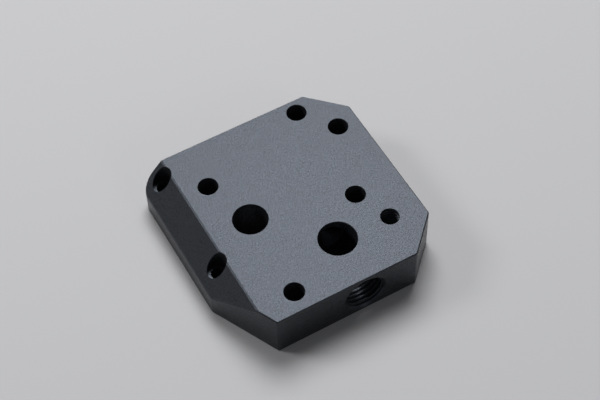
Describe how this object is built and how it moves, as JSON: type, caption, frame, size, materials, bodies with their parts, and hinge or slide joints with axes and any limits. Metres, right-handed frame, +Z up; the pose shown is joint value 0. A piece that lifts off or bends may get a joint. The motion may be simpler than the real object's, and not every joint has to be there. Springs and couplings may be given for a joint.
{
  "type": "machined mounting block",
  "caption": "Thin square block with cut corners and one bevelled edge, drilled for screws and a dowel, with a threaded side port that opens into a blind passage in the top face.",
  "frame": {"origin": "centre of the bounding box in plan, on the flat bottom face", "axes": "+Z up out of the top face; +X from the bevelled left face to the right face; +Y from the face with the side port to the back face"},
  "size_m": [0.0508, 0.0508, 0.012],
  "materials": {
    "mounting_block": "bead-blasted and anodised dark grey, matt"
  },
  "bodies": {
    "root": {"mounting_block": "mounting_block"}
  },
  "joints": []
}
